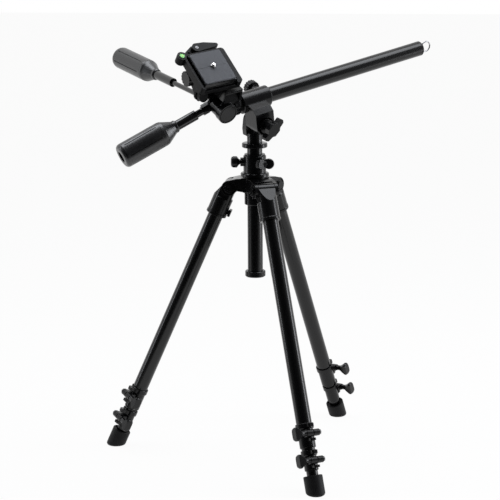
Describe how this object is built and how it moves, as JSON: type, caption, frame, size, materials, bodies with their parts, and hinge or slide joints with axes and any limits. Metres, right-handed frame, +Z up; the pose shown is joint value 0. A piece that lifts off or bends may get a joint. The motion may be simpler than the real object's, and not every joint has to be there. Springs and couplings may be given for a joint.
{
  "type": "camera tripod with lateral arm",
  "caption": "Folding camera tripod with telescopic legs, lift column, lateral arm on a tilting bracket and a three-way quick-release head.",
  "frame": {"origin": "on the floor, under the column axis", "axes": "+Z up along the column, +X opposite the left leg"},
  "size_m": [0.5578, 0.4754, 0.7166],
  "materials": {
    "tube": "black satin anodised tube",
    "casting": "black satin painted die casting",
    "rubber": "matt moulded rubber",
    "grip": "soft-touch moulded grip",
    "pad": "fine-grained rubber-cork pad",
    "level": "green spirit level",
    "steel": "bright plated steel",
    "plastic": "moulded black plastic"
  },
  "bodies": {
    "base": {"crown": "casting", "leg_pivot_bolts": "steel"},
    "left_leg": {"left_shoulder": "casting", "left_upper_tube": "tube", "left_upper_clamp": "casting"},
    "left_middle": {"left_middle_tube": "tube", "left_lower_clamp": "casting"},
    "left_lower": {"left_lower_tube": "tube", "left_foot": "rubber"},
    "left_tab": {"left_stop_tab": "plastic"},
    "left_upper_bolt": {"left_upper_knob": "casting"},
    "left_lower_bolt": {"left_lower_knob": "casting"},
    "front_leg": {"front_shoulder": "casting", "front_upper_tube": "tube", "front_upper_clamp": "casting"},
    "front_middle": {"front_middle_tube": "tube", "front_lower_clamp": "casting"},
    "front_lower": {"front_lower_tube": "tube", "front_foot": "rubber"},
    "front_tab": {"front_stop_tab": "plastic"},
    "front_upper_bolt": {"front_upper_knob": "casting"},
    "front_lower_bolt": {"front_lower_knob": "casting"},
    "right_leg": {"right_shoulder": "casting", "right_upper_tube": "tube", "right_upper_clamp": "casting"},
    "right_middle": {"right_middle_tube": "tube", "right_lower_clamp": "casting"},
    "right_lower": {"right_lower_tube": "tube", "right_foot": "rubber"},
    "right_tab": {"right_stop_tab": "plastic"},
    "right_upper_bolt": {"right_upper_knob": "casting"},
    "right_lower_bolt": {"right_lower_knob": "casting"},
    "bush": {"column_bush": "plastic"},
    "column": {"column_tube": "tube", "column_foot_cap": "plastic", "column_stop_ring": "casting", "column_top": "casting"},
    "thumb": {"collar_knob": "plastic"},
    "collar_bolt": {"collar_wing": "casting"},
    "bracket": {"arm_bracket": "casting"},
    "pivot_knob": {"arm_pivot_wing": "casting"},
    "arm_lock": {"arm_lock_knob": "plastic"},
    "arm": {"arm_tube": "tube", "arm_end_cap": "plastic", "head_base": "casting"},
    "eye": {"arm_eye_hook": "steel"},
    "pan": {"head_body": "casting"},
    "pan_lock": {"pan_knob": "plastic"},
    "tilt": {"tilt_block": "casting"},
    "tilt_handle": {"tilt_handle_rod": "steel", "tilt_handle_grip": "grip"},
    "platform": {"platform": "casting", "level_vial": "level"},
    "side_handle": {"side_handle_rod": "steel", "side_handle_grip": "grip"},
    "side_knob": {"side_tilt_knob": "plastic"},
    "plate": {"quick_plate": "casting", "plate_pad": "pad"},
    "screw": {"camera_screw": "steel"},
    "lever": {"release_lever": "casting"}
  },
  "joints": [
    {"name": "left_leg_swing", "type": "hinge", "parent": "base", "child": "left_leg", "pos_m": [-0.042, 0, 0.469], "axis": [0, 1, 0], "range_deg": [-22.5, 40]},
    {"name": "left_middle_extend", "type": "slide", "parent": "left_leg", "child": "left_middle", "axis": [-0.4035, 0, -0.915], "range_m": [0, 0.3]},
    {"name": "left_lower_extend", "type": "slide", "parent": "left_middle", "child": "left_lower", "axis": [-0.4035, 0, -0.915], "range_m": [0, 0.3]},
    {"name": "left_stop_pull", "type": "slide", "parent": "left_leg", "child": "left_tab", "axis": [0.915, 0, -0.4035], "range_m": [0, 0.004], "stiffness_N_per_m": 300},
    {"name": "left_upper_knob_turn", "type": "hinge", "parent": "left_leg", "child": "left_upper_bolt", "pos_m": [-0.21862, -0.02266, 0.09333], "axis": [0.6356, -0.7193, -0.2803], "continuous": true},
    {"name": "left_lower_knob_turn", "type": "hinge", "parent": "left_middle", "child": "left_lower_bolt", "pos_m": [-0.23519, -0.02141, 0.05254], "axis": [0.6356, -0.7193, -0.2803], "continuous": true},
    {"name": "front_leg_swing", "type": "hinge", "parent": "base", "child": "front_leg", "pos_m": [0.021, -0.03637, 0.469], "axis": [-0.866, -0.5, 0], "range_deg": [-22.5, 40]},
    {"name": "front_middle_extend", "type": "slide", "parent": "front_leg", "child": "front_middle", "axis": [0.2018, -0.3495, -0.915], "range_m": [0, 0.3]},
    {"name": "front_lower_extend", "type": "slide", "parent": "front_middle", "child": "front_lower", "axis": [0.2018, -0.3495, -0.915], "range_m": [0, 0.3]},
    {"name": "front_stop_pull", "type": "slide", "parent": "front_leg", "child": "front_tab", "axis": [-0.4575, 0.7924, -0.4035], "range_m": [0, 0.004], "stiffness_N_per_m": 300},
    {"name": "front_upper_knob_turn", "type": "hinge", "parent": "front_leg", "child": "front_upper_bolt", "pos_m": [0.10909, -0.20603, 0.09966], "axis": [-0.7797, -0.6227, 0.0659], "continuous": true},
    {"name": "front_lower_knob_turn", "type": "hinge", "parent": "front_middle", "child": "front_lower_bolt", "pos_m": [0.1169, -0.22015, 0.05868], "axis": [-0.7797, -0.6227, 0.0659], "continuous": true},
    {"name": "right_leg_swing", "type": "hinge", "parent": "base", "child": "right_leg", "pos_m": [0.021, 0.03637, 0.469], "axis": [0.866, -0.5, 0], "range_deg": [-22.5, 40]},
    {"name": "right_middle_extend", "type": "slide", "parent": "right_leg", "child": "right_middle", "axis": [0.2018, 0.3495, -0.915], "range_m": [0, 0.3]},
    {"name": "right_lower_extend", "type": "slide", "parent": "right_middle", "child": "right_lower", "axis": [0.2018, 0.3495, -0.915], "range_m": [0, 0.3]},
    {"name": "right_stop_pull", "type": "slide", "parent": "right_leg", "child": "right_tab", "axis": [-0.4575, -0.7924, -0.4035], "range_m": [0, 0.004], "stiffness_N_per_m": 300},
    {"name": "right_upper_knob_turn", "type": "hinge", "parent": "right_leg", "child": "right_upper_bolt", "pos_m": [0.12559, 0.19524, 0.09917], "axis": [0.8844, -0.4664, 0.0169], "continuous": true},
    {"name": "right_lower_knob_turn", "type": "hinge", "parent": "right_middle", "child": "right_lower_bolt", "pos_m": [0.13371, 0.20915, 0.05819], "axis": [0.8844, -0.4664, 0.0169], "continuous": true},
    {"name": "column_turn", "type": "hinge", "parent": "base", "child": "bush", "pos_m": [0, 0, 0.5235], "axis": [0, 0, 1], "continuous": true},
    {"name": "column_lift", "type": "slide", "parent": "bush", "child": "column", "axis": [0, 0, 1], "range_m": [-0.01, 0.1]},
    {"name": "collar_knob_turn", "type": "hinge", "parent": "base", "child": "thumb", "pos_m": [-0.02478, -0.00331, 0.512], "axis": [-0.9912, -0.1323, 0], "continuous": true},
    {"name": "collar_wing_turn", "type": "hinge", "parent": "base", "child": "collar_bolt", "pos_m": [0.0156, -0.01954, 0.512], "axis": [0.6239, -0.7815, 0], "continuous": true},
    {"name": "bracket_tilt", "type": "hinge", "parent": "column", "child": "bracket", "pos_m": [0, 0, 0.583], "axis": [-0.6364, 0.7516, 0.1736], "range_deg": [-30, 30]},
    {"name": "pivot_knob_turn", "type": "hinge", "parent": "bracket", "child": "pivot_knob", "pos_m": [0.02545, -0.03006, 0.57605], "axis": [0.6364, -0.7516, -0.1736], "continuous": true},
    {"name": "arm_lock_turn", "type": "hinge", "parent": "bracket", "child": "arm_lock", "pos_m": [-0.00595, 0.03119, 0.63195], "axis": [-0.6347, 0.6962, 0.3353], "continuous": true},
    {"name": "arm_slide", "type": "slide", "parent": "bracket", "child": "arm", "axis": [0.7701, 0.606, 0.1994], "range_m": [-0.3, 0.003]},
    {"name": "eye_turn", "type": "hinge", "parent": "arm", "child": "eye", "pos_m": [0.2703, 0.2127, 0.68848], "axis": [0.7701, 0.606, 0.1994], "continuous": true},
    {"name": "head_pan", "type": "hinge", "parent": "arm", "child": "pan", "pos_m": [-0.03311, -0.02606, 0.60993], "axis": [0.7701, 0.606, 0.1994], "range_deg": [-60, 60]},
    {"name": "pan_knob_turn", "type": "hinge", "parent": "pan", "child": "pan_lock", "pos_m": [-0.05767, -0.00726, 0.61003], "axis": [-0.626, 0.778, 0.0531], "continuous": true},
    {"name": "head_tilt", "type": "hinge", "parent": "pan", "child": "tilt", "pos_m": [-0.04981, -0.04115, 0.60845], "axis": [-0.6224, 0.645, 0.4435], "range_deg": [-60, 2]},
    {"name": "tilt_handle_turn", "type": "hinge", "parent": "tilt", "child": "tilt_handle", "pos_m": [-0.09427, -0.05195, 0.59581], "axis": [-0.7791, -0.4563, -0.4298], "continuous": true},
    {"name": "side_tilt", "type": "hinge", "parent": "tilt", "child": "platform", "pos_m": [-0.06578, -0.03359, 0.66523], "axis": [0.756, 0.6421, 0.1271], "range_deg": [-45, 4]},
    {"name": "side_handle_turn", "type": "hinge", "parent": "platform", "child": "side_handle", "pos_m": [-0.08922, -0.0532, 0.6323], "axis": [-0.6544, 0.7376, 0.1664], "continuous": true},
    {"name": "side_knob_turn", "type": "hinge", "parent": "platform", "child": "side_knob", "pos_m": [-0.10018, -0.0628, 0.65945], "axis": [-0.756, -0.6421, -0.1271], "continuous": true},
    {"name": "plate_lift", "type": "slide", "parent": "platform", "child": "plate", "axis": [0.3842, -0.5925, 0.708], "range_m": [0, 0.02]},
    {"name": "camera_screw_turn", "type": "hinge", "parent": "plate", "child": "screw", "pos_m": [-0.05911, -0.07075, 0.68036], "axis": [0.3842, -0.5925, 0.708], "continuous": true},
    {"name": "lever_release", "type": "hinge", "parent": "platform", "child": "lever", "pos_m": [-0.09142, -0.04369, 0.70515], "axis": [0.3842, -0.5925, 0.708], "range_deg": [0, 30], "stiffness_Nm_per_rad": 0.05}
  ]
}
